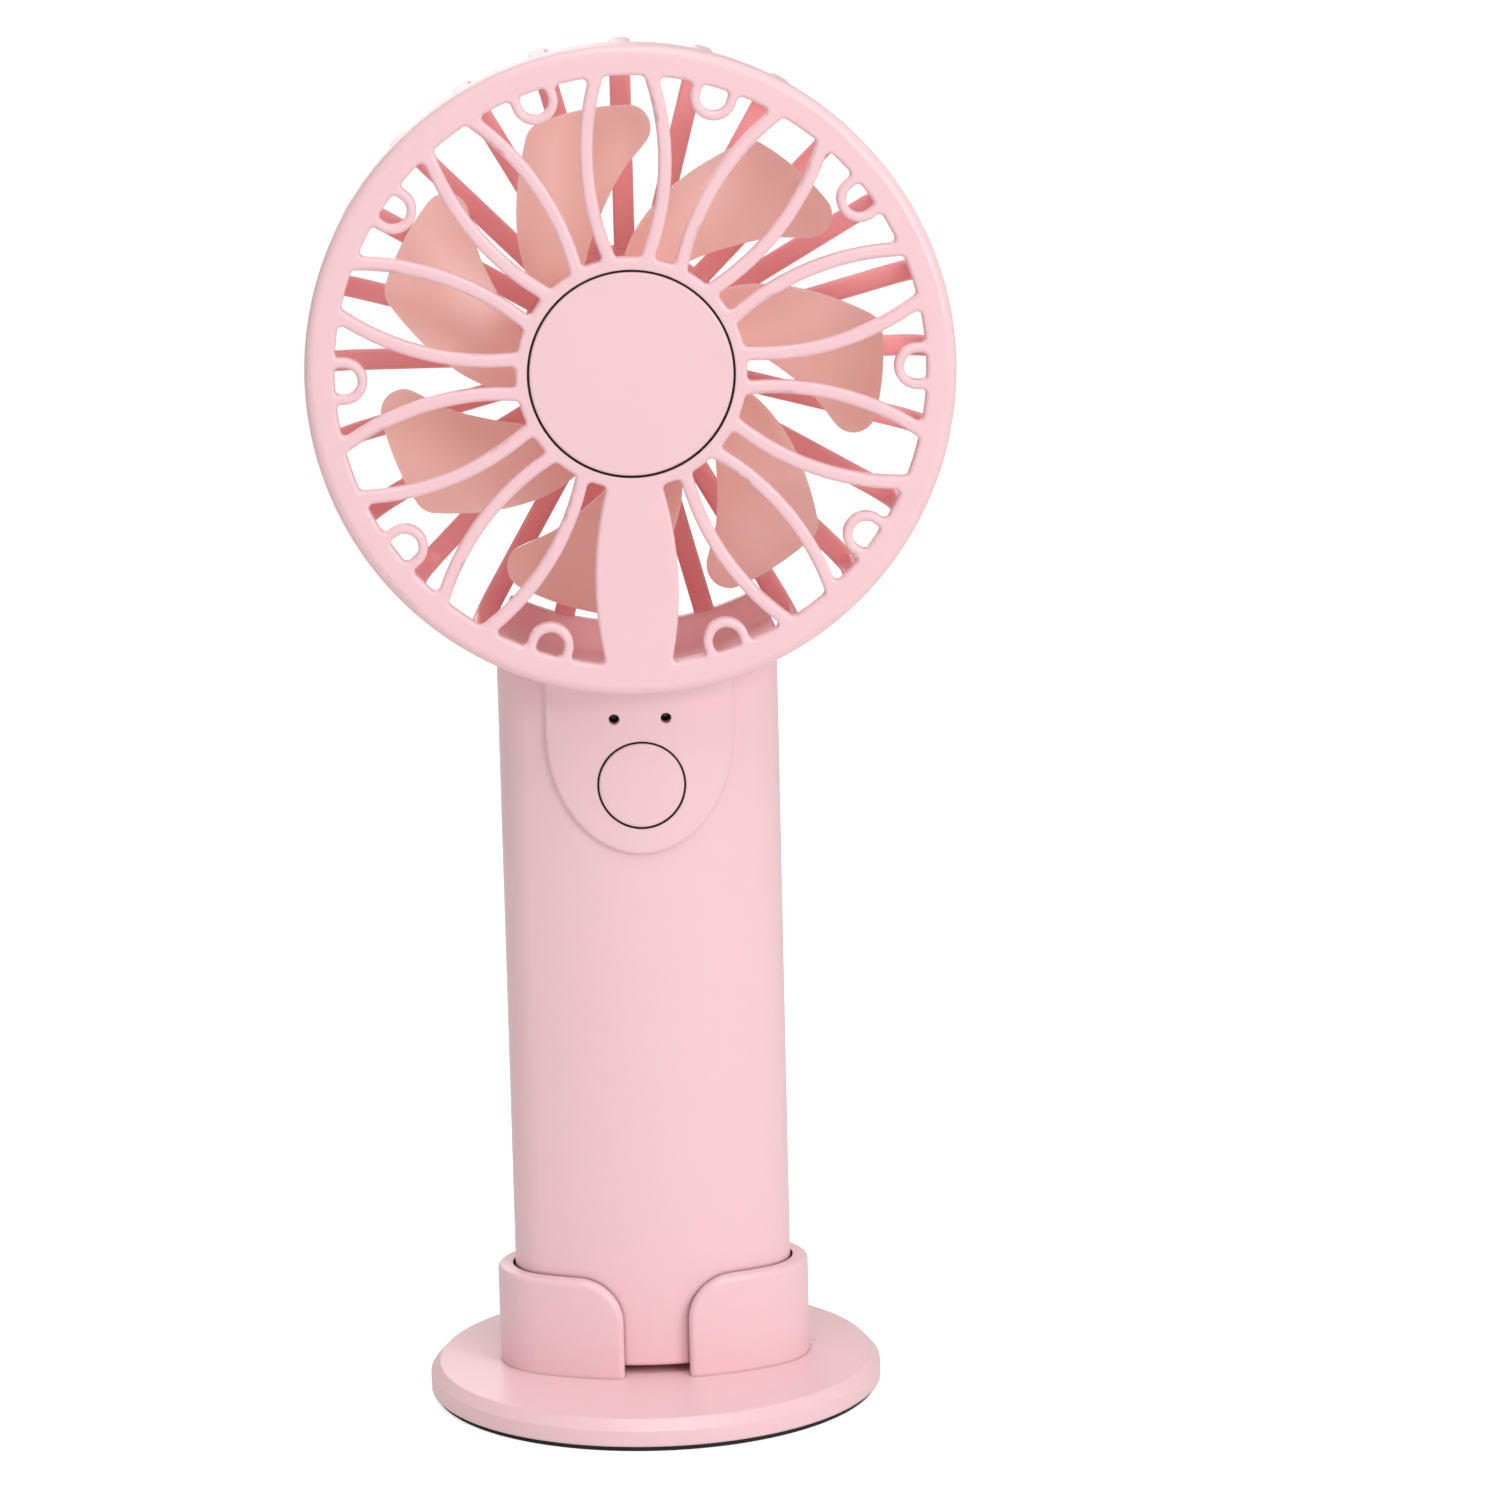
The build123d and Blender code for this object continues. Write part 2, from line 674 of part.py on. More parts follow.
with BuildPart() as front_cover:
    with BuildSketch(head_plane.offset(head_front)) as cover_face:
        Circle(ring_radius)
        Circle(ring_inner, mode=Mode.SUBTRACT)
        Circle(hub_ring_radius)
        with PolarLocations(0, petal_count - 1, 270 + petal_pitch, 360 - 2 * petal_pitch, endpoint=True):
            add(open_petal.sketch)
        with PolarLocations(0, 1, 270):
            add(solid_petal.sketch)
        with PolarLocations(0, petal_count, 90 + petal_pitch / 2):
            add(loop.sketch)
        junctions = [
            corner
            for corner in cover_face.vertices()
            for radius in (hub_ring_radius, ring_inner)
            if abs(math.hypot(corner.X, corner.Y) - radius) < seam_gap
        ]
        fillet(junctions, radius=junction_round)
    extrude(amount=-face_thickness)
    outer_edge = front_cover.edges().group_by(Axis.Y)[0].sort_by(SortBy.LENGTH)[-1]
    fillet(outer_edge, radius=ring_round)
    face_edges = front_cover.faces().filter_by(GeomType.PLANE).sort_by(Axis.Y)[0].edges()
    fillet([edge for edge in face_edges if edge.length < ring_radius * math.pi], radius=edge_round)
    add(head_ring(lip_inner, ring_radius, seam_depth, head_front - face_thickness))
    add(head_ring(lip_inner, lip_outer, seam_depth - lip_length, seam_depth))
    add(head_ring(0, hub_ring_radius, head_front - face_thickness - hub_floor, head_front - face_thickness))
    add(chin.part)
    add(tongue.part)
    add(tongue_plug.part)
    add(head_ring(hub_ring_radius, lip_inner, head_back, head_front - face_thickness), mode=Mode.SUBTRACT)
    # A blend runs the ring into the tongue, whose raised outline is rounded; then come its holes
    # and the pocket for the button's flange.
    fillet(front_cover.edges().filter_by(under_ring), radius=tongue_blend)
    fillet(front_cover.edges().filter_by(on_tongue_rim), radius=tongue_round)
    with BuildSketch(front_plane):
        with Locations((0, button_height)):
            Circle(button_radius + button_gap)
        with Locations((0, led_height)):
            with GridLocations(led_spacing, 1, 2, 1):
                Circle(led_hole_radius)
    extrude(amount=head_front, mode=Mode.SUBTRACT)
    with BuildSketch(front_plane):
        with Locations((0, button_height)):
            Circle(button_radius + button_flange + button_gap)
    extrude(amount=inner_front, mode=Mode.SUBTRACT)
    with BuildSketch(head_plane.offset(head_front)):
        Circle(hub_cap_radius + hub_cap_gap)
    extrude(amount=-hub_cap_thickness, mode=Mode.SUBTRACT)
save(front_cover, "front_cover")

with BuildPart() as hub_cap:
    with BuildSketch(head_plane.offset(head_front - hub_cap_thickness)):
        Circle(hub_cap_radius)
    extrude(amount=hub_cap_thickness)
    fillet(hub_cap.edges().group_by(Axis.Y)[0], radius=hub_cap_gap)
save(hub_cap, "hub_cap")

# Power button: its face follows the tongue's curve, and its flange keeps it behind the tongue.
with BuildPart() as power_button:
    with BuildSketch(front_plane.offset(button_back)):
        with Locations((0, button_height)):
            Circle(button_radius)
    extrude(amount=head_front - button_back)
    with BuildSketch(Plane.XY.offset(button_height - 2 * button_radius)):
        add(handle_oval(tongue_rise + button_proud))
    extrude(amount=4 * button_radius, mode=Mode.INTERSECT)
    fillet(power_button.edges().group_by(Axis.Y)[0], radius=button_gap)
    with BuildSketch(front_plane.offset(button_back)):
        with Locations((0, button_height)):
            Circle(button_radius + button_flange)
    extrude(amount=button_flange_thickness)
save(power_button, "power_button")

# Motor: a steel can closed by a plastic end cap, with its shaft in two sintered bushes
with BuildPart() as motor_can:
    add(head_ring(bush_radius, can_radius, motor_rear, motor_front))
    add(head_ring(0, can_radius - can_wall, motor_rear, motor_front - can_wall), mode=Mode.SUBTRACT)
    can_front_edges = motor_can.edges().filter_by(GeomType.CIRCLE).group_by(Axis.Y)[0]
    fillet(can_front_edges.sort_by(SortBy.RADIUS)[-1], radius=can_wall)
save(motor_can, "motor_can")

with BuildPart() as motor_end_cap:
    add(head_ring(bush_radius, can_radius - can_wall, motor_rear, motor_rear + end_cap_thickness))
    with BuildSketch(head_plane.offset(motor_rear)):
        with Locations((0, -terminal_drop)):
            Rectangle(lead_spacing + 2 * terminal_width, 2 * terminal_thickness)
    extrude(amount=end_cap_thickness, mode=Mode.SUBTRACT)
save(motor_end_cap, "motor_end_cap")

with BuildPart() as shaft_bushes:
    for rear in (motor_rear, motor_front - bush_length):
        add(head_ring(shaft_radius + shaft_clearance, bush_radius, rear, rear + bush_length))
save(shaft_bushes, "shaft_bushes")

magnet_outer = can_radius - can_wall
magnet_inner = magnet_outer - magnet_thickness
core_radius = magnet_inner - core_gap
commutator_rear = motor_rear + bush_length + lead_play
winding_rear = commutator_rear + commutator_length + lead_play
core_rear = winding_rear + winding_overhang
core_middle = core_rear + core_length / 2


def sector(inner, outer, angle):
    # A piece of a flat ring, centred on +X
    half_angle = math.radians(angle / 2)
    with BuildSketch(mode=Mode.PRIVATE) as piece:
        with BuildLine():
            CenterArc((0, 0), outer, -angle / 2, angle)
            CenterArc((0, 0), inner, -angle / 2, angle)
            for side in (-1, 1):
                Line(
                    (inner * math.cos(half_angle), side * inner * math.sin(half_angle)),
                    (outer * math.cos(half_angle), side * outer * math.sin(half_angle)),
                )
        make_face()
    return piece.sketch


with BuildPart() as motor_magnets:
    with BuildSketch(head_plane.offset(core_middle - magnet_length / 2)):
        with PolarLocations(0, 2):
            add(sector(magnet_inner, magnet_outer, magnet_angle))
    extrude(amount=magnet_length)
save(motor_magnets, "motor_magnets")

with BuildPart() as motor_shaft:
    add(head_ring(0, shaft_radius, motor_rear, hub_front - impeller_hub_wall))
save(motor_shaft, "motor_shaft")

with BuildPart() as armature_core:
    with BuildSketch(head_plane.offset(core_rear)):
        Circle(pole_neck)
        with PolarLocations(0, pole_count, 90):
            Rectangle(core_radius - pole_tip_thickness / 2, pole_neck, align=(Align.MIN, Align.CENTER))
            add(sector(core_radius - pole_tip_thickness, core_radius, pole_tip_angle))
        Circle(shaft_radius, mode=Mode.SUBTRACT)
    extrude(amount=core_length)
save(armature_core, "armature_core")

with BuildPart() as armature_windings:
    winding_inner = pole_neck + winding_play
    winding_outer = core_radius - pole_tip_thickness - winding_play
    with BuildSketch(head_plane.offset(winding_rear)):
        with PolarLocations(0, pole_count, 90):
            with Locations(((winding_inner + winding_outer) / 2, 0)):
                Rectangle(winding_outer - winding_inner, winding_width)
    extrude(amount=core_length + 2 * winding_overhang)
    winding_edges = armature_windings.edges().filter_by(GeomType.LINE).filter_by(Axis.Y, reverse=True)
    fillet(winding_edges, radius=winding_play)
    with BuildSketch(head_plane.offset(core_rear)):
        with PolarLocations(0, pole_count, 90):
            Rectangle(core_radius, pole_neck, align=(Align.MIN, Align.CENTER))
    extrude(amount=core_length, mode=Mode.SUBTRACT)
save(armature_windings, "armature_windings")

with BuildPart() as commutator:
    add(head_ring(shaft_radius, commutator_radius, commutator_rear, commutator_rear + commutator_length))
    with BuildSketch(head_plane.offset(commutator_rear)):
        with PolarLocations(0, pole_count, 30):
            with Locations((commutator_radius, 0)):
                Rectangle(commutator_radius / 2, brush_thickness)
    extrude(amount=commutator_length, mode=Mode.SUBTRACT)
save(commutator, "commutator")

with BuildPart() as motor_brushes:
    with BuildSketch(head_plane.offset(motor_rear + end_cap_thickness)):
        with GridLocations(2 * (commutator_radius + brush_gap) + brush_thickness, 1, 2, 1):
            Rectangle(brush_thickness, brush_width)
    extrude(amount=commutator_rear + commutator_length - motor_rear - end_cap_thickness)
save(motor_brushes, "motor_brushes")

with BuildPart() as motor_terminals:
    with BuildSketch(head_plane.offset(seat_floor - channel_depth + seat_clearance)):
        with Locations((0, -terminal_drop)):
            with GridLocations(lead_spacing, 1, 2, 1):
                Rectangle(lead_spacing - 2 * seat_clearance, terminal_thickness)
    extrude(amount=motor_rear + end_cap_thickness - seat_floor + channel_depth - seat_clearance)
save(motor_terminals, "motor_terminals")


def lead(points, bends):
    # One insulated wire: a tube along straight runs joined by tangent arcs
    with BuildPart(mode=Mode.PRIVATE) as wire:
        with BuildLine() as route:
            if len(points) > 2:
                FilletPolyline(*points, radius=bends)
            else:
                Line(*points)
        with BuildSketch(Plane(origin=route.line @ 0, z_dir=route.line % 0)):
            Circle(lead_radius)
        sweep()
    return wire.part


with BuildPart() as motor_leads:
    channel_run = -(seat_floor - channel_depth / 2)
    for side in (-1, 1):
        across = side * lead_spacing / 2
        motor_route = [
            (across, channel_run, head_height - terminal_drop - terminal_thickness / 2),
            (across, channel_run, head_height - lead_turn),
            (across, -lead_depth, ring_bottom - lead_drop),
            (across, -lead_depth, board_bottom + board_height - lead_overlap),
        ]
        add(lead(motor_route, motor_lead_bends))
save(motor_leads, "motor_leads")

with BuildPart() as battery_leads:
    add(
        lead(
            [
                (-battery_lead_x, -lead_depth, cell_top + tab_thickness),
                (-battery_lead_x, -lead_depth, board_bottom + lead_overlap),
            ],
            None,
        )
    )
    tab_end = cell_diameter / 2 - cell_rim
    lead_side = cell_diameter / 2 + battery_lead_offset
    lead_low = cell_bottom - lead_radius - brush_gap
    add(
        lead(
            [
                (tab_end, 0, lead_low),
                (lead_side, 0, lead_low),
                (lead_side, 0, cell_top + tab_thickness),
                (battery_lead_x, -lead_depth, board_bottom - lead_radius),
                (battery_lead_x, -lead_depth, board_bottom + lead_overlap),
            ],
            battery_lead_bends,
        )
    )
save(battery_leads, "battery_leads")

with BuildPart() as board_chips:
    with BuildSketch(front_plane.offset(board_front)):
        with Locations((-chip_x, board_middle), (chip_x, board_middle)):
            Rectangle(chip_width, chip_length)
    extrude(amount=chip_height)
save(board_chips, "board_chips")

# Impeller: a cup-shaped hub over the motor, with wide blades that lean forwards at their tips
def blade_point(place):
    # A point in X and Z of the top blade's outline, from its reach and its swing
    reach, swing = place
    radius = impeller_hub_radius + reach * (impeller_radius - impeller_hub_radius)
    return (radius * math.sin(math.radians(swing)), radius * math.cos(math.radians(swing)))


with BuildPart() as blade:
    for level, camber in ((blade_root_reach, root_camber), (impeller_radius + blade_overrun, tip_camber)):
        with BuildLine(mode=Mode.PRIVATE) as camber_line:
            ThreePointArc(*[(across, behind - hub_front) for across, behind in camber])
        with BuildSketch(Plane.XY.offset(head_height + level)):
            SlotArc(camber_line.line.edge(), blade_thickness)
    loft()
    with BuildSketch(head_plane.offset(hub_rear - impeller_hub_length)) as blade_outline:
        with BuildLine():
            Spline([blade_point(place) for place in leading_edge])
            ThreePointArc(
                blade_point(leading_edge[-1]),
                blade_point((1, blade_tip_swing)),
                blade_point(trailing_edge[0]),
            )
            Spline([blade_point(place) for place in trailing_edge])
            Line(blade_point(trailing_edge[-1]), blade_point(leading_edge[0]))
        make_face()
        fillet(blade_outline.vertices().sort_by(Axis.Y)[-2:], radius=blade_corner)
    extrude(amount=3 * impeller_hub_length, mode=Mode.INTERSECT)
    skirt_middle = impeller_hub_radius - impeller_hub_wall / 2
    add(head_ring(0, skirt_middle, 2 * head_back, 2 * head_front), mode=Mode.SUBTRACT)

with BuildPart() as impeller:
    add(head_ring(0, impeller_hub_radius, hub_rear, hub_front))
    fillet(impeller.edges().group_by(Axis.Y)[0], radius=impeller_hub_wall)
    skirt_inner = impeller_hub_radius - impeller_hub_wall
    add(head_ring(0, skirt_inner, hub_rear, hub_front - impeller_hub_wall), mode=Mode.SUBTRACT)
    add(head_ring(0, impeller_boss_radius, hub_front - impeller_boss_length, hub_front - impeller_hub_wall))
    for turn in range(blade_count):
        add(blade.part.rotate(head_axis, turn * 360 / blade_count))
    add(head_ring(0, shaft_radius, hub_rear, hub_front - impeller_hub_wall), mode=Mode.SUBTRACT)
save(impeller, "impeller")
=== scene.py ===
import math
import bmesh
import bpy
import numpy as np
from mathutils import Matrix, Vector


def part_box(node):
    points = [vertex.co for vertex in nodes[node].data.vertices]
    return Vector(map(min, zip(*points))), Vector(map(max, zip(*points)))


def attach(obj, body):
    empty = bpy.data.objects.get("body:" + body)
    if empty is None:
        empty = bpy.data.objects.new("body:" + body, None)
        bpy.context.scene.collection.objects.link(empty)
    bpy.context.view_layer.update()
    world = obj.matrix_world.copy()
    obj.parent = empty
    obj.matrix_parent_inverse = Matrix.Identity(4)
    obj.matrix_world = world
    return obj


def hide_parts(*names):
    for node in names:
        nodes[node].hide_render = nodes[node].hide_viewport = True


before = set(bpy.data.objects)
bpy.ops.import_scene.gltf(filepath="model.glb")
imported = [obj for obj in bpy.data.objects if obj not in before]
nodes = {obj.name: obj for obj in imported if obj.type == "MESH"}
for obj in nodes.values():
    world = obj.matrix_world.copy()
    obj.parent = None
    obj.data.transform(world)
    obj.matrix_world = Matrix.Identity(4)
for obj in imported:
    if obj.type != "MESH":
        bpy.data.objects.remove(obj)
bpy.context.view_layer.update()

print("frame loaded:", len(nodes), "nodes")


# shader helpers
def srgb(red, green, blue):
    # display values 0..255 to the linear values a shader wants
    share = np.array([red, green, blue]) / 255.0
    linear = np.where(share <= 0.04045, share / 12.92, ((share + 0.055) / 1.055) ** 2.4)
    return (*linear.tolist(), 1.0)


def addNode(tree, kind, inputs=None, **settings):
    made = tree.nodes.new(kind)
    for key, value in settings.items():
        setattr(made, key, value)
    for key, value in (inputs or {}).items():
        if isinstance(value, bpy.types.NodeSocket):
            tree.links.new(value, made.inputs[key])
        else:
            made.inputs[key].default_value = value
    return made


def startGroup(name, inputs, outputs):
    # a shader group with named float or colour sockets; returns its tree and its two ends
    tree = bpy.data.node_groups.new(name, "ShaderNodeTree")
    for key, value in inputs.items():
        kind = "NodeSocketColor" if isinstance(value, tuple) else "NodeSocketFloat"
        tree.interface.new_socket(key, in_out="INPUT", socket_type=kind).default_value = value
    for key, kind in outputs.items():
        tree.interface.new_socket(key, in_out="OUTPUT", socket_type="NodeSocket" + kind)
    start = tree.nodes.new("NodeGroupInput")
    end = tree.nodes.new("NodeGroupOutput")
    return tree, start, end


def mathNode(tree, operation, first, second=0.0, clamp=False):
    made = addNode(tree, "ShaderNodeMath", {0: first, 1: second}, operation=operation)
    made.use_clamp = clamp
    return made.outputs[0]


def mixColour(tree, factor, first, second):
    # sockets 0, 6 and 7 are the factor and the two colours of a colour mix, and output 2 is its colour
    made = addNode(tree, "ShaderNodeMix", data_type="RGBA")
    for key, value in ((0, factor), (6, first), (7, second)):
        if isinstance(value, bpy.types.NodeSocket):
            tree.links.new(value, made.inputs[key])
        else:
            made.inputs[key].default_value = value
    return made.outputs[2]


def noise(tree, vector, scale, detail=2.0, roughness=0.5):
    made = addNode(tree, "ShaderNodeTexNoise", {
        "Vector": vector, "Scale": scale, "Detail": detail, "Roughness": roughness})
    return made.outputs["Fac"]


def ramp(tree, value, low, high, toLow=0.0, toHigh=1.0):
    made = addNode(tree, "ShaderNodeMapRange", {
        "Value": value, "From Min": low, "From Max": high, "To Min": toLow, "To Max": toHigh})
    return made.outputs["Result"]


# shared effects
noiseMiddle = 0.5  # the value that noise lies about
skinPattern = {
    "cloudScale": 38.0, "cloudDetail": 3.0, "cloudRoughness": 0.55, "cloudFrom": 0.35, "cloudTo": 0.7,
}
scuffPattern = {
    "turn": (0.4, 0.9, 0.5), "stretch": (1.0, 14.0, 1.4), "detail": 4.0, "roughness": 0.6, "halfLine": 0.012,
    "patchScale": 60.0, "patchFrom": 0.52, "patchTo": 0.7,
}
streakPattern = {
    "stretch": (1.0, 0.05, 1.0), "detail": 3.0, "roughness": 0.6,
    "spotScale": 350.0, "spotDetail": 3.0, "spotFrom": 0.45, "spotTo": 0.75,
}
creviceLimits = {"closed": 0.25, "open": 0.55, "samples": 6}
inwardLimits = {"away": 0.25, "towards": -0.3}


def buildMouldedSkin():
    # moulded plastic: spark-eroded grain for the bump, faint flow clouds in the colour,
    # and roughness that follows both
    tree, start, end = startGroup(
        "mouldedSkin",
        {"Colour": (0.8, 0.8, 0.8, 1.0), "Cloud Colour": (0.7, 0.7, 0.7, 1.0), "Cloud": 0.3,
         "Grain Scale": 4000.0, "Roughness": 0.4, "Roughness Spread": 0.08},
        {"Colour": "Color", "Roughness": "Float", "Height": "Float"})
    place = addNode(tree, "ShaderNodeTexCoord").outputs["Object"]
    clouds = noise(tree, place, skinPattern["cloudScale"], skinPattern["cloudDetail"],
                   skinPattern["cloudRoughness"])
    soft = ramp(tree, clouds, skinPattern["cloudFrom"], skinPattern["cloudTo"])
    share = mathNode(tree, "MULTIPLY", soft, start.outputs["Cloud"])
    colour = mixColour(tree, share, start.outputs["Colour"], start.outputs["Cloud Colour"])
    grain = noise(tree, place, start.outputs["Grain Scale"])
    sparkle = mathNode(tree, "SUBTRACT", grain, noiseMiddle)
    drift = mathNode(tree, "SUBTRACT", clouds, noiseMiddle)
    uneven = mathNode(tree, "ADD", sparkle, drift)
    spread = mathNode(tree, "MULTIPLY", uneven, start.outputs["Roughness Spread"])
    rough = mathNode(tree, "ADD", start.outputs["Roughness"], spread, True)
    tree.links.new(colour, end.inputs["Colour"])
    tree.links.new(rough, end.inputs["Roughness"])
    tree.links.new(grain, end.inputs["Height"])
    return tree


def buildScuffs():
    # hair scratches: lines where stretched noise crosses its middle, kept inside the patches of a coarser noise
    tree, start, end = startGroup("scuffs", {"Scale": 300.0, "Amount": 0.5}, {"Mask": "Float"})
    place = addNode(tree, "ShaderNodeTexCoord").outputs["Object"]
    turned = addNode(tree, "ShaderNodeMapping", {
        "Vector": place, "Rotation": scuffPattern["turn"], "Scale": scuffPattern["stretch"]})
    lines = noise(tree, turned.outputs[0], start.outputs["Scale"], scuffPattern["detail"],
                  scuffPattern["roughness"])
    fromMiddle = mathNode(tree, "ABSOLUTE", mathNode(tree, "SUBTRACT", lines, noiseMiddle))
    thin = ramp(tree, fromMiddle, scuffPattern["halfLine"], 0.0)
    coarse = noise(tree, place, scuffPattern["patchScale"])
    patches = ramp(tree, coarse, scuffPattern["patchFrom"], scuffPattern["patchTo"])
    mask = mathNode(tree, "MULTIPLY", mathNode(tree, "MULTIPLY", thin, patches), start.outputs["Amount"], True)
    tree.links.new(mask, end.inputs["Mask"])
    return tree


def buildRolledMetal():
    # rolled or turned metal: long fine streaks along one axis, with dull spots
    tree, start, end = startGroup(
        "rolledMetal",
        {"Colour": (0.6, 0.6, 0.6, 1.0), "Dull Colour": (0.4, 0.4, 0.4, 1.0), "Streak Scale": 900.0,
         "Roughness": 0.3, "Roughness Spread": 0.2},
        {"Colour": "Color", "Roughness": "Float", "Height": "Float"})
    place = addNode(tree, "ShaderNodeTexCoord").outputs["Object"]
    drawn = addNode(tree, "ShaderNodeMapping", {"Vector": place, "Scale": streakPattern["stretch"]})
    streaks = noise(tree, drawn.outputs[0], start.outputs["Streak Scale"], streakPattern["detail"],
                    streakPattern["roughness"])
    dull = noise(tree, place, streakPattern["spotScale"], streakPattern["spotDetail"])
    spots = ramp(tree, dull, streakPattern["spotFrom"], streakPattern["spotTo"])
    colour = mixColour(tree, spots, start.outputs["Colour"], start.outputs["Dull Colour"])
    spread = mathNode(tree, "MULTIPLY", streaks, start.outputs["Roughness Spread"])
    rough = mathNode(tree, "ADD", start.outputs["Roughness"], spread, True)
    tree.links.new(colour, end.inputs["Colour"])
    tree.links.new(rough, end.inputs["Roughness"])
    tree.links.new(streaks, end.inputs["Height"])
    return tree


def buildSpecks():
    # stray dust: one small dot in a few of the cells of a Voronoi pattern
    tree, start, end = startGroup("specks", {"Scale": 170.0, "Share": 0.1, "Radius": 0.03}, {"Mask": "Float"})
    place = addNode(tree, "ShaderNodeTexCoord").outputs["Object"]
    cells = addNode(tree, "ShaderNodeTexVoronoi", {"Vector": place, "Scale": start.outputs["Scale"]})
    dot = mathNode(tree, "LESS_THAN", cells.outputs["Distance"], start.outputs["Radius"])
    draw = addNode(tree, "ShaderNodeSeparateColor", {"Color": cells.outputs["Color"]})
    chosen = mathNode(tree, "LESS_THAN", draw.outputs[0], start.outputs["Share"])
    tree.links.new(mathNode(tree, "MULTIPLY", dot, chosen), end.inputs["Mask"])
    return tree


def buildCreviceShade():
    # how closed in a point is, which sets where shade is painted: 1 where little of its surroundings
    # within the reach is clear, as in a narrow gap, falling to 0 where about half of them are
    tree, start, end = startGroup("creviceShade", {"Reach": 0.0012}, {"Mask": "Float"})
    clear = addNode(tree, "ShaderNodeAmbientOcclusion", {"Distance": start.outputs["Reach"]},
                    samples=creviceLimits["samples"])
    shade = ramp(tree, clear.outputs["AO"], creviceLimits["closed"], creviceLimits["open"], 1.0, 0.0)
    tree.links.new(shade, end.inputs["Mask"])
    return tree


def buildInwardFaces():
    # the mask for painted shade: 1 where a face looks towards the middle of the head's front, 0 where it looks
    # away from it:
    # the normal times the direction from that middle, turned into a share
    tree, start, end = startGroup("inwardShade", {"Height": 0.15, "Depth": 0.017}, {"Mask": "Float"})
    place = addNode(tree, "ShaderNodeTexCoord")
    middle = addNode(tree, "ShaderNodeCombineXYZ", {
        "Y": mathNode(tree, "MULTIPLY", start.outputs["Depth"], -1.0), "Z": start.outputs["Height"]})
    away = addNode(tree, "ShaderNodeVectorMath", {0: place.outputs["Object"], 1: middle.outputs[0]},
                   operation="SUBTRACT")
    unit = addNode(tree, "ShaderNodeVectorMath", {0: away.outputs[0]}, operation="NORMALIZE")
    facing = addNode(tree, "ShaderNodeVectorMath", {0: unit.outputs[0], 1: place.outputs["Normal"]},
                     operation="DOT_PRODUCT")
    shade = ramp(tree, facing.outputs["Value"], inwardLimits["away"], inwardLimits["towards"])
    tree.links.new(shade, end.inputs["Mask"])
    return tree


creviceShade = buildCreviceShade()
specks = buildSpecks()
inwardShade = buildInwardFaces()
mouldedSkin = buildMouldedSkin()
scuffs = buildScuffs()
rolledMetal = buildRolledMetal()
print("shared effects built")

edgeSamples = 4
scuffDulling = 0.25  # roughness that a full scuff adds
creviceReach = 0.0012
dustBrown = srgb(70, 48, 48)
scratch = {"strength": 0.3, "depth": 0.00002}


def startMaterial(name):
    material = bpy.data.materials.new(name)
    material.use_nodes = True
    tree = material.node_tree
    return material, tree, tree.nodes["Principled BSDF"]


def placeGroup(tree, group, values):
    made = tree.nodes.new("ShaderNodeGroup")
    made.node_tree = group
    for key, value in values.items():
        made.inputs[key].default_value = value
    return made


def addBump(tree, shader, height, strength, distance, edge=0.0):
    # edge is the radius that sharp corners are softened to, where it isn't nothing
    bump = addNode(tree, "ShaderNodeBump", {"Strength": strength, "Distance": distance, "Height": height})
    if edge:
        soft = addNode(tree, "ShaderNodeBevel", {"Radius": edge}, samples=edgeSamples)
        tree.links.new(soft.outputs["Normal"], bump.inputs["Normal"])
    tree.links.new(bump.outputs["Normal"], shader.inputs["Normal"])


def plastic(name, values, grain=0.25, grainDepth=0.00004, scuffed=0.25, constants=None, crevice=None,
            inward=None, dusty=None, edge=0.0):
    # crevice is the colour of painted shade in narrow gaps, inward the colour of painted shade on faces
    # towards the head's middle, dusty the values of the specks, and constants go to the shader's own sockets
    material, tree, shader = startMaterial(name)
    skin = placeGroup(tree, mouldedSkin, values)
    marks = placeGroup(tree, scuffs, {"Amount": scuffed})
    dulled = mathNode(tree, "MULTIPLY", marks.outputs["Mask"], scuffDulling)
    rough = mathNode(tree, "ADD", skin.outputs["Roughness"], dulled, True)
    colour = skin.outputs["Colour"]
    # painted shade: faces turned towards the head's middle take the deeper inward colour
    if inward:
        facing = placeGroup(tree, inwardShade, {"Height": headMiddle.z, "Depth": -headFront})
        colour = mixColour(tree, facing.outputs["Mask"], colour, inward)
    # painted shade: narrow gaps and tight corners are darkened towards the crevice colour
    if crevice:
        gaps = placeGroup(tree, creviceShade, {"Reach": creviceReach})
        colour = mixColour(tree, gaps.outputs["Mask"], colour, crevice)
    if dusty:
        dots = placeGroup(tree, specks, dusty)
        colour = mixColour(tree, dots.outputs["Mask"], colour, dustBrown)
    tree.links.new(colour, shader.inputs["Base Color"])
    tree.links.new(rough, shader.inputs["Roughness"])
    addBump(tree, shader, skin.outputs["Height"], grain, grainDepth, edge)
    for key, value in (constants or {}).items():
        shader.inputs[key].default_value = value
    return material


def metal(name, values):
    material, tree, shader = startMaterial(name)
    body = placeGroup(tree, rolledMetal, values)
    tree.links.new(body.outputs["Colour"], shader.inputs["Base Color"])
    tree.links.new(body.outputs["Roughness"], shader.inputs["Roughness"])
    addBump(tree, shader, body.outputs["Height"], scratch["strength"], scratch["depth"])
    shader.inputs["Metallic"].default_value = 1.0
    return material


# finishes
capLow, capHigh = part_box("hub_cap")
headMiddle = (capLow + capHigh) / 2
headFront = capLow.y

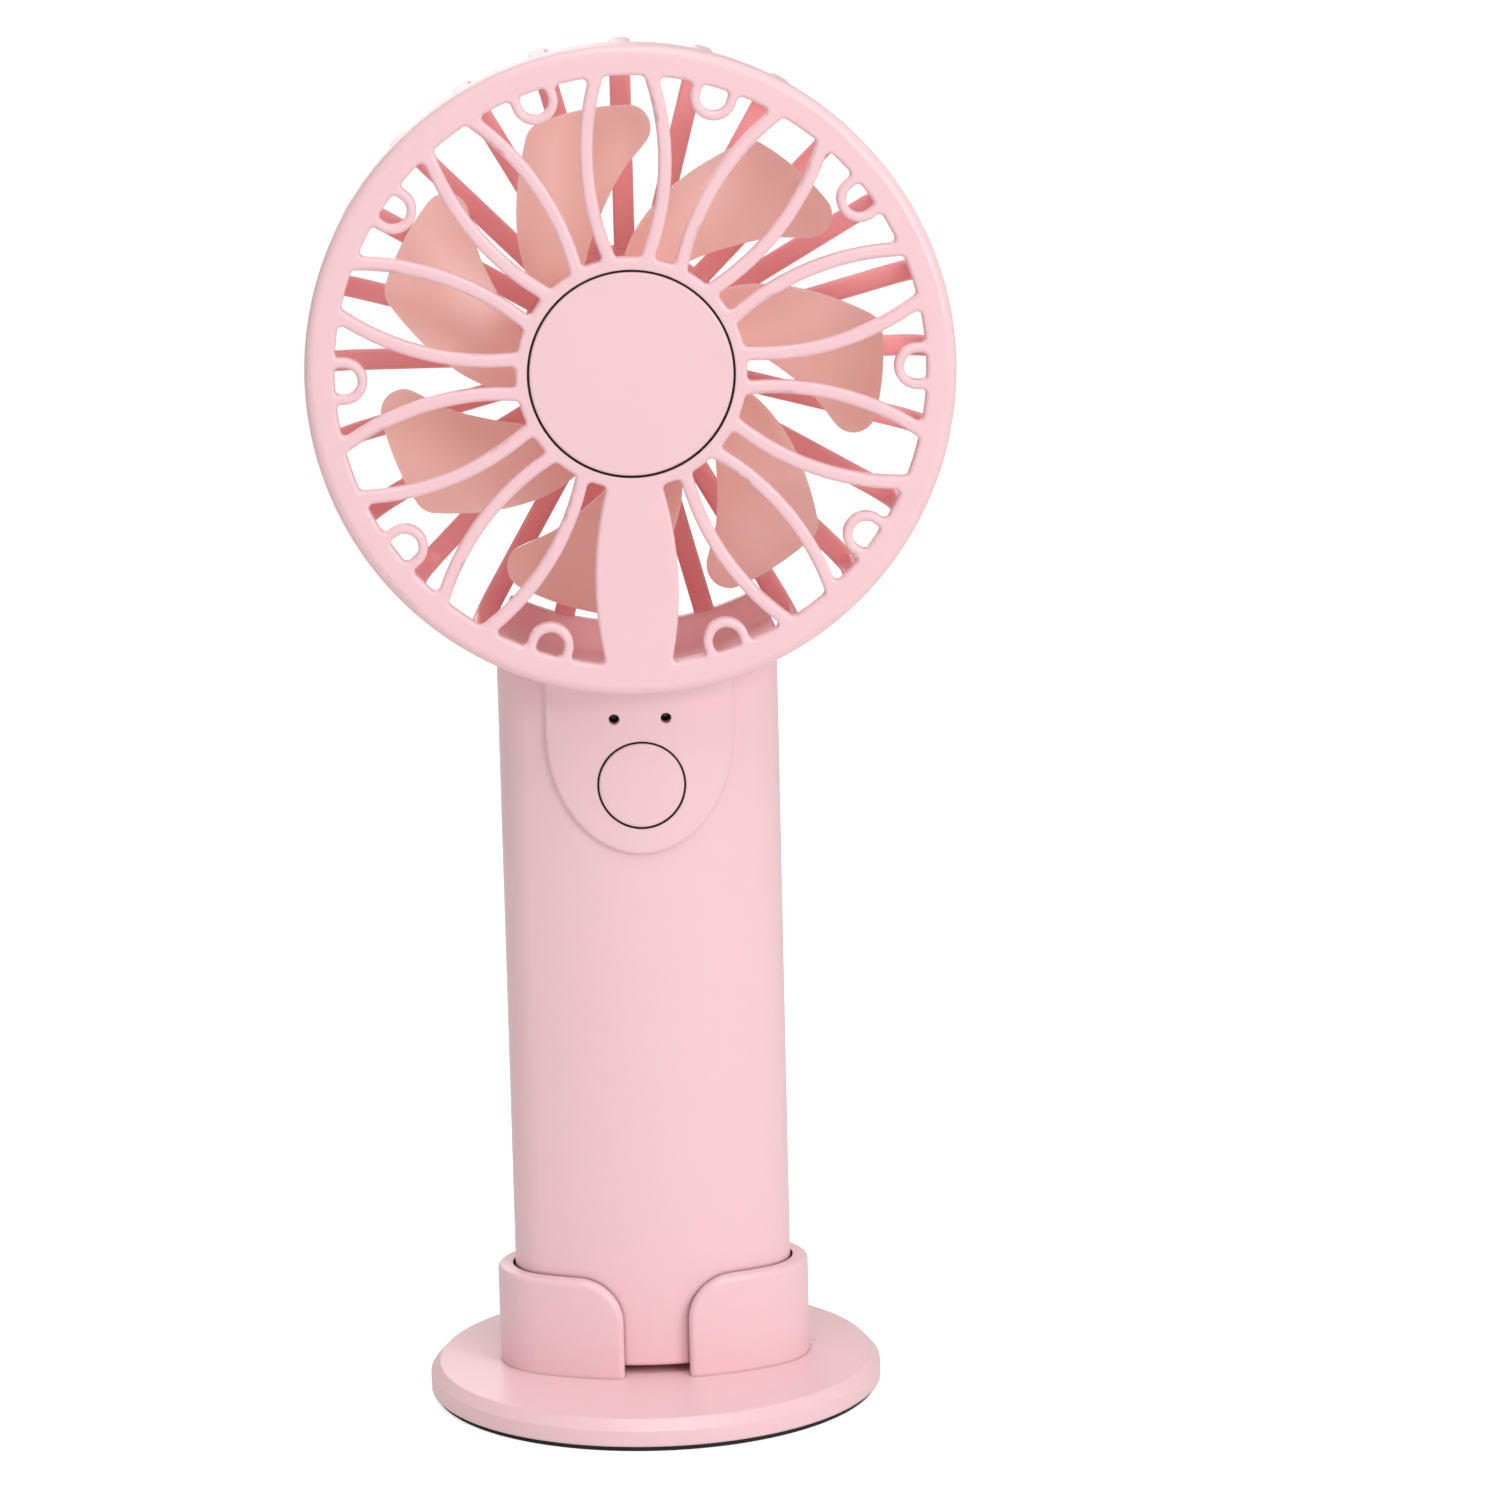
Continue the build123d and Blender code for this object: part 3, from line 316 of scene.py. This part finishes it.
satinPink = {
    "Colour": srgb(247, 206, 211), "Cloud Colour": srgb(243, 198, 204), "Cloud": 0.25,
    "Grain Scale": 5200.0, "Roughness": 0.36, "Roughness Spread": 0.1,
}
satinShader = {
    "Subsurface Weight": 0.12, "Subsurface Radius": (1.0, 0.45, 0.35), "Subsurface Scale": 0.0015,
    "IOR": 1.48, "Coat Weight": 0.08, "Coat Roughness": 0.2,
}
# painted shade: the dark colour that narrow gaps take, where little light gets in
paintedGapShade = srgb(62, 22, 26)
standDust = {"Scale": 170.0, "Share": 0.12, "Radius": 0.045}
# painted shade: redder, deeper pinks for faces that look towards the head's middle, standing for their shade
# and the pink light bounced into it
ribInwardShade, wallInwardShade = srgb(254, 172, 175), srgb(254, 205, 208)
satin = {"grain": 0.12, "constants": satinShader, "edge": 0.0004}
bodyPlastic = plastic("bodyPlastic", satinPink, crevice=paintedGapShade, **satin)
standPlastic = plastic("standPlastic", satinPink, crevice=paintedGapShade, dusty=standDust, **satin)
cagePlastic = plastic("cagePlastic", satinPink, inward=ribInwardShade, **satin)
wallPlastic = plastic("wallPlastic", satinPink, inward=wallInwardShade, **satin)

salmonBlade = {
    "Colour": srgb(255, 212, 204), "Cloud Colour": srgb(254, 204, 195), "Cloud": 0.4,
    "Grain Scale": 2600.0, "Roughness": 0.2, "Roughness Spread": 0.06,
}
# the faint glow stands for light that comes through the thin blades
bladePlastic = plastic("bladePlastic", salmonBlade, grain=0.05, constants={
    "Emission Color": (1.0, 0.42, 0.37, 1.0), "Emission Strength": 0.06,
    "Transmission Weight": 0.08, "Subsurface Weight": 0.6, "Subsurface Radius": (1.0, 0.5, 0.4),
    "Subsurface Scale": 0.004, "IOR": 1.45})

padRubber = plastic("padRubber", {
    "Colour": srgb(30, 30, 32), "Cloud Colour": srgb(52, 50, 50), "Cloud": 0.5,
    "Grain Scale": 1500.0, "Roughness": 0.75, "Roughness Spread": 0.2}, grain=0.6, grainDepth=0.0001)
chipBlack = plastic("chipBlack", {
    "Colour": srgb(24, 24, 26), "Cloud Colour": srgb(38, 38, 40), "Cloud": 0.4,
    "Grain Scale": 6000.0, "Roughness": 0.5, "Roughness Spread": 0.2}, grain=0.4)
ledLens = plastic("ledLens", {
    "Colour": srgb(44, 46, 58), "Cloud Colour": srgb(28, 28, 36), "Cloud": 0.6,
    "Grain Scale": 3000.0, "Roughness": 0.15, "Roughness Spread": 0.05},
    grain=0.05, constants={"Coat Weight": 0.6})
cellWrap = plastic("cellWrap", {
    "Colour": srgb(46, 120, 196), "Cloud Colour": srgb(38, 100, 176), "Cloud": 0.4,
    "Grain Scale": 900.0, "Roughness": 0.28, "Roughness Spread": 0.1}, grain=0.1)
foam = plastic("foam", {
    "Colour": srgb(60, 60, 64), "Cloud Colour": srgb(88, 86, 90), "Cloud": 0.6,
    "Grain Scale": 1400.0, "Roughness": 0.9, "Roughness Spread": 0.15},
    grain=0.9, grainDepth=0.0003, scuffed=0.0)
leadRed = plastic("leadRed", {
    "Colour": srgb(190, 34, 36), "Cloud Colour": srgb(160, 24, 28), "Cloud": 0.5,
    "Grain Scale": 2500.0, "Roughness": 0.35, "Roughness Spread": 0.1}, grain=0.1)
magnetGrey = plastic("magnetGrey", {
    "Colour": srgb(64, 62, 64), "Cloud Colour": srgb(84, 80, 80), "Cloud": 0.6,
    "Grain Scale": 2200.0, "Roughness": 0.6, "Roughness Spread": 0.25}, grain=0.4, grainDepth=0.00008)

screwSteel = metal("screwSteel", {"Colour": srgb(168, 170, 176), "Dull Colour": srgb(128, 128, 134),
                                  "Streak Scale": 2500.0, "Roughness": 0.22, "Roughness Spread": 0.2})
portSteel = metal("portSteel", {"Colour": srgb(206, 206, 208), "Dull Colour": srgb(170, 168, 166),
                                "Streak Scale": 1800.0, "Roughness": 0.2, "Roughness Spread": 0.18})
motorSteel = metal("motorSteel", {"Colour": srgb(186, 188, 192), "Dull Colour": srgb(140, 140, 144),
                                  "Streak Scale": 1200.0, "Roughness": 0.24, "Roughness Spread": 0.22})
bushBronze = metal("bushBronze", {"Colour": srgb(186, 142, 88), "Dull Colour": srgb(132, 94, 58),
                                  "Streak Scale": 1800.0, "Roughness": 0.35, "Roughness Spread": 0.25})
coreIron = metal("coreIron", {"Colour": srgb(120, 120, 124), "Dull Colour": srgb(84, 80, 78),
                              "Streak Scale": 3000.0, "Roughness": 0.45, "Roughness Spread": 0.25})
copper = metal("copper", {"Colour": srgb(214, 124, 78), "Dull Colour": srgb(160, 84, 52),
                          "Streak Scale": 4000.0, "Roughness": 0.25, "Roughness Spread": 0.2})


board = {
    "green": srgb(22, 92, 56), "otherGreen": srgb(26, 104, 62), "track": srgb(66, 142, 84),
    "shadow": srgb(14, 66, 40),
    "trackScale": 420.0, "trackWidth": 0.06, "cloudScale": 300.0, "glossScale": 900.0,
    "bump": 0.2, "bumpDepth": 0.00003,
}


def solderMask():
    # circuit board: green fields in a brick pattern with lighter straight tracks between them,
    # turned a quarter so that the pattern lies in the board's plane
    material, tree, shader = startMaterial("boardGreen")
    place = addNode(tree, "ShaderNodeTexCoord").outputs["Object"]
    flat = addNode(tree, "ShaderNodeMapping", {"Vector": place, "Rotation": (math.pi / 2, 0.0, 0.0)}).outputs[0]
    tracks = addNode(tree, "ShaderNodeTexBrick", {
        "Vector": flat, "Color1": board["green"], "Color2": board["otherGreen"], "Mortar": board["track"],
        "Scale": board["trackScale"], "Mortar Size": board["trackWidth"]}).outputs["Color"]
    clouds = ramp(tree, noise(tree, place, board["cloudScale"]), 0.3, 0.8, 0.0, 0.3)
    tree.links.new(mixColour(tree, clouds, tracks, board["shadow"]), shader.inputs["Base Color"])
    gloss = ramp(tree, noise(tree, place, board["glossScale"]), 0.2, 0.8, 0.2, 0.4)
    tree.links.new(gloss, shader.inputs["Roughness"])
    addBump(tree, shader, tracks, board["bump"], board["bumpDepth"])
    return material


boardGreen = solderMask()

finishOf = {
    standPlastic: ("stand_base",),
    bodyPlastic: ("handle_tube", "handle_end_cap", "front_cover", "hub_cap", "power_button"),
    cagePlastic: ("rear_grille",),
    bladePlastic: ("impeller",),
    padRubber: ("anti_slip_pad",),
    boardGreen: ("circuit_board",),
    chipBlack: ("board_chips", "switch_body", "switch_plunger", "port_tongue", "motor_end_cap"),
    ledLens: ("indicator_leds",),
    cellWrap: ("battery_cell",),
    foam: ("cell_cushion",),
    leadRed: ("motor_leads", "battery_leads"),
    magnetGrey: ("motor_magnets",),
    screwSteel: ("board_screws", "motor_shaft"),
    portSteel: ("charging_port", "cell_tabs"),
    motorSteel: ("motor_can",),
    bushBronze: ("shaft_bushes", "motor_brushes", "motor_terminals", "commutator"),
    coreIron: ("armature_core",),
    copper: ("armature_windings",),
}
for finish, names in finishOf.items():
    for name in names:
        nodes[name].data.materials.clear()
        nodes[name].data.materials.append(finish)
print("finishes given to", sum(len(names) for names in finishOf.values()), "nodes")


# rear cage: ribs with rounded sides, hub, seat, band and the closed part behind the handle
cageLow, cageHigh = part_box("rear_grille")
cageRadius = cageHigh.x
cage = {
    "back": -cageHigh.y, "front": -cageLow.y, "wall": 0.002, "corner": 0.006, "edge": 0.0004,
    "ribs": 24, "ribWidth": 0.003, "ribRound": 0.0007, "ribOverlap": 0.0005, "wideRib": 0.006,
    "channelWidth": 0.00284, "channelDepth": 0.00102, "hubRadius": 0.0155, "hubPole": 0.00001,
    "seatInner": 0.01028, "seatOuter": 0.01168, "seatFront": -0.0055, "bandLength": 0.0046, "bandLap": 0.0001,
    "ribLap": 0.0001, "closedAngle": 27.0, "chinHalfWidth": 0.01347, "sharperThan": 35.0,
    "cornerSteps": 4, "straightSteps": 11, "bendSteps": 14, "turnSteps": 192, "closedSteps": 40,
}
kneeRadius = cageRadius - cage["corner"]  # where the back starts to turn forwards
kneeDepth = cage["back"] + cage["corner"]


def roundedSection(width, thickness, corner):
    # outline of a bar: quarter circles of one radius about the four inset corners, anticlockwise
    angle = np.linspace(0.0, np.pi / 2, cage["cornerSteps"] + 1)
    parts = []
    for quarter, (sideX, sideY) in enumerate(((1, 1), (-1, 1), (-1, -1), (1, -1))):
        turned = angle + quarter * np.pi / 2
        parts.append(np.stack([sideX * (width / 2 - corner) + corner * np.cos(turned),
                               sideY * (thickness / 2 - corner) + corner * np.sin(turned)], 1))
    return np.concatenate(parts)


def channelSection(width, thickness, corner, slotWidth, slotDepth):
    # the same bar with a slot sunk in its inner side, for the motor's leads
    bar = roundedSection(width, thickness, corner)
    half = len(bar) // 2
    slot = np.array([[-slotWidth, thickness], [-slotWidth, thickness - 2 * slotDepth],
                     [slotWidth, thickness - 2 * slotDepth], [slotWidth, thickness]]) / 2
    return np.concatenate([bar[:half // 2], slot[::-1], bar[half // 2:]])


def cagePath(start, front, inset):
    # radius and depth along the cage's wall, the inset from its outside: outwards along the back,
    # round a quarter circle, then forwards
    steps = cage["straightSteps"]
    bend = np.linspace(-np.pi / 2, 0.0, cage["bendSteps"] + 1)
    radius = cage["corner"] - inset
    around = np.stack([kneeRadius + radius * np.cos(bend), kneeDepth + radius * np.sin(bend)], 1)
    along = np.stack([np.linspace(start, kneeRadius, steps + 1)[:-1], np.full(steps, cage["back"] + inset)], 1)
    forwards = np.stack([np.full(steps, cageRadius - inset), np.linspace(kneeDepth, front, steps + 1)[1:]], 1)
    return np.concatenate([along, around, forwards])


def headPoint(radius, depth, across, angle):
    # a place from its radius and depth, moved sideways by across, turned clockwise from the top
    return np.stack([radius * np.sin(angle) + across * np.cos(angle), -depth,
                     headMiddle.z + radius * np.cos(angle) - across * np.sin(angle)], -1)


def tubeFaces(rows, columns, offset, joinedEnds):
    # quads between neighbouring rows of a grid whose columns run round; the first and last row are
    # joined to each other, or each gets a cap
    row = np.arange(rows if joinedEnds else rows - 1)[:, None]
    column = np.arange(columns)[None, :]
    after = (row + 1) % rows
    beside = (column + 1) % columns
    quads = np.stack([row * columns + column, row * columns + beside, after * columns + beside,
                      after * columns + column], -1).reshape(-1, 4) + offset
    faces = quads.tolist()
    if not joinedEnds:
        faces.append((np.arange(columns)[::-1] + offset).tolist())
        faces.append((np.arange(columns) + (rows - 1) * columns + offset).tolist())
    return faces


def barAlong(path, section, angle):
    # the section carried along the path in the plane of one angle, its second axis pointing inwards
    tangent = np.gradient(path, axis=0)
    tangent /= np.linalg.norm(tangent, axis=1, keepdims=True)
    inward = np.stack([-tangent[:, 1], tangent[:, 0]], 1)
    radius = path[:, None, 0] + inward[:, None, 0] * section[None, :, 1]
    depth = path[:, None, 1] + inward[:, None, 1] * section[None, :, 1]
    across = np.broadcast_to(section[None, :, 0], radius.shape)
    return headPoint(radius, depth, across, angle)


def turnedRing(profile, angles):
    # a closed profile of radius and depth turned about the head's axis through the given angles
    radius = np.broadcast_to(profile[None, :, 0], (len(angles), len(profile)))
    depth = np.broadcast_to(profile[None, :, 1], radius.shape)
    return headPoint(radius, depth, 0.0 * radius, angles[:, None])


def ringProfile(inner, outer, rear, front):
    # a rounded section put between two radii and two depths
    section = roundedSection(outer - inner, front - rear, cage["edge"])
    return section + np.array([(inner + outer) / 2, (rear + front) / 2])


def buildRibs():
    # ribs at equal angles from the hub to the front; those behind the handle stop just inside the
    # edge of the closed part, and the lowest is wide and carries the leads
    middle = cage["wall"] / 2
    fullPath = cagePath(cage["hubRadius"] - cage["ribOverlap"], cage["front"] - middle, middle)
    shortPath = fullPath[:cage["straightSteps"]]
    shortPath = np.concatenate([shortPath, [[kneeRadius + cage["ribLap"], cage["back"] + middle]]])
    plainRib = roundedSection(cage["ribWidth"], cage["wall"], cage["ribRound"])
    wideRib = channelSection(cage["wideRib"], cage["wall"], cage["ribRound"], cage["channelWidth"],
                             cage["channelDepth"])
    ribs = []
    for turn in range(cage["ribs"]):
        angle = 2 * np.pi * turn / cage["ribs"]
        lowest = turn == cage["ribs"] // 2
        behindHandle = abs(angle - np.pi) < math.radians(cage["closedAngle"])
        path = shortPath if behindHandle else fullPath
        ribs.append((barAlong(path, wideRib if lowest else plainRib, angle), False))
    return ribs


def buildHubAndSeat():
    # the hub's disc with a rounded rim, and the ring that holds the motor, turned a full circle
    middle = cage["wall"] / 2
    full = np.linspace(0.0, 2 * np.pi, cage["turnSteps"] + 1)[:-1]
    rim = roundedSection(2 * cage["hubRadius"], cage["wall"], cage["ribRound"])
    rim = rim[rim[:, 0] > 0]
    rim = rim[np.argsort(rim[:, 1])]
    disc = np.concatenate([[[cage["hubPole"], -middle]], rim, [[cage["hubPole"], middle]]])
    seat = ringProfile(cage["seatInner"], cage["seatOuter"], cage["back"] + middle, cage["seatFront"])
    disc = disc + np.array([0.0, cage["back"] + middle])
    return [(turnedRing(disc, full), True), (turnedRing(seat, full), True)]


def buildWall():
    # the band round the front, open where the handle meets it, and the closed part behind the handle
    bandRear = cage["front"] - cage["bandLength"]
    gap = math.asin(cage["chinHalfWidth"] / cageRadius)
    openTurn = np.linspace(np.pi + gap, 3 * np.pi - gap, cage["turnSteps"])
    band = ringProfile(cageRadius - cage["wall"], cageRadius, bandRear, cage["front"])
    closed = math.radians(cage["closedAngle"])
    outside, inside = (cagePath(kneeRadius, bandRear + cage["bandLap"], inset)[cage["straightSteps"]:]
                       for inset in (0.0, cage["wall"]))
    shell = np.concatenate([outside, inside[::-1]])
    closedTurn = np.linspace(np.pi - closed, np.pi + closed, cage["closedSteps"])
    return [(turnedRing(band, openTurn), False), (turnedRing(shell, closedTurn), False)]


def joined(grids):
    # points and faces of several grids in one list each
    points, faces = [], []
    for grid, joinedEnds in grids:
        faces += tubeFaces(grid.shape[0], grid.shape[1], sum(len(part) for part in points), joinedEnds)
        points.append(grid.reshape(-1, 3))
    return np.concatenate(points), faces


def surfaceObject(name, points, faces, finish, body):
    # a mesh with its faces outward, smooth but for its sharp edges, that moves with the body
    mesh = bpy.data.meshes.new(name)
    mesh.from_pydata(points.tolist(), [], faces)
    tidy = bmesh.new()
    tidy.from_mesh(mesh)
    bmesh.ops.recalc_face_normals(tidy, faces=tidy.faces)
    tidy.to_mesh(mesh)
    tidy.free()
    mesh.shade_smooth()
    mesh.set_sharp_from_angle(angle=math.radians(cage["sharperThan"]))
    mesh.materials.append(finish)
    made = bpy.data.objects.new(name, mesh)
    bpy.context.scene.collection.objects.link(made)
    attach(made, body)
    return made


rearPieces = {
    "rearCage": (buildRibs() + buildHubAndSeat(), cagePlastic),
    "rearWall": (buildWall(), wallPlastic),
}
for pieceName, (grids, finish) in rearPieces.items():
    piece = surfaceObject(pieceName, *joined(grids), finish, "fan_body")
    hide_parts("rear_grille")
    print(pieceName, "built:", len(piece.data.polygons), "faces")


# floor, light and camera
studio = {
    "floorRadius": 9.0, "floorSides": 64, "floorShade": 0.9, "floorRoughness": 0.6, "floorGlow": 0.65,
    "worldLight": 0.46, "aim": (0.0, 0.0, 0.1),
}
softboxes = {
    "keyLight": {"place": (0.62, -0.85, 0.5), "size": 0.5, "power": 4.3},
    "fillLight": {"place": (-0.8, -0.6, 0.4), "size": 0.7, "power": 0.3},
    "backLight": {"place": (-0.25, 0.95, 0.5), "size": 0.6, "power": 1.6},
    "topLight": {"place": (0.05, -0.35, 1.05), "size": 0.7, "power": 3.6},
}
white = (1.0, 1.0, 1.0, 1.0)

ring = np.linspace(0.0, 2.0 * np.pi, studio["floorSides"] + 1)[:-1]
floorPoints = np.stack([np.cos(ring), np.sin(ring), np.zeros_like(ring)], 1) * studio["floorRadius"]
floorMesh = bpy.data.meshes.new("floor")
floorMesh.from_pydata(floorPoints.tolist(), [], [list(range(len(ring)))])
floor = bpy.data.objects.new("floor", floorMesh)
bpy.context.scene.collection.objects.link(floor)
floorMaterial, floorTree, floorShader = startMaterial("paleFloor")
floorShader.inputs["Base Color"].default_value = (*[studio["floorShade"]] * 3, 1.0)
floorShader.inputs["Roughness"].default_value = studio["floorRoughness"]
glow = addNode(floorTree, "ShaderNodeEmission", {"Color": white})
seen = addNode(floorTree, "ShaderNodeLightPath").outputs["Is Camera Ray"]
floorTree.links.new(mathNode(floorTree, "MULTIPLY", seen, studio["floorGlow"]), glow.inputs["Strength"])
both = addNode(floorTree, "ShaderNodeAddShader", {0: floorShader.outputs[0], 1: glow.outputs[0]})
floorTree.links.new(both.outputs[0], floorTree.nodes["Material Output"].inputs["Surface"])
floorMesh.materials.append(floorMaterial)

world = bpy.data.worlds.new("studio")
world.use_nodes = True
bpy.context.scene.world = world
sky = world.node_tree
backdrop = sky.nodes["Background"]
backdrop.inputs["Color"].default_value = white
seen = addNode(sky, "ShaderNodeLightPath").outputs["Is Camera Ray"]
sky.links.new(ramp(sky, seen, 0.0, 1.0, studio["worldLight"], 1.0), backdrop.inputs["Strength"])


def softbox(name, place, size, power):
    # a round lamp at the place, turned towards the aim
    lamp = bpy.data.lights.new(name, "AREA")
    lamp.shape = "DISK"
    lamp.size = size
    lamp.energy = power
    made = bpy.data.objects.new(name, lamp)
    made.location = place
    made.rotation_euler = (Vector(studio["aim"]) - Vector(place)).to_track_quat("-Z", "Y").to_euler()
    bpy.context.scene.collection.objects.link(made)


for name, values in softboxes.items():
    softbox(name, **values)

lens = {
    "length": 121.9, "sensor": 36.0, "nearest": 0.01, "place": (-0.01261, -0.71395, 0.22665),
    "tiltDown": 0.1843, "turn": -0.0398, "roll": 0.0229,
}
cameraData = bpy.data.cameras.new("camera")
cameraData.lens = lens["length"]
cameraData.sensor_width = lens["sensor"]
cameraData.clip_start = lens["nearest"]
camera = bpy.data.objects.new("camera", cameraData)
camera.matrix_world = (
    Matrix.Translation(lens["place"]) @ Matrix.Rotation(lens["turn"], 4, "Z")
    @ Matrix.Rotation(math.pi / 2 - lens["tiltDown"], 4, "X") @ Matrix.Rotation(-lens["roll"], 4, "Z"))
bpy.context.scene.collection.objects.link(camera)
bpy.context.scene.camera = camera
bpy.context.scene.view_settings.view_transform = "Standard"
print("floor, light and camera placed")
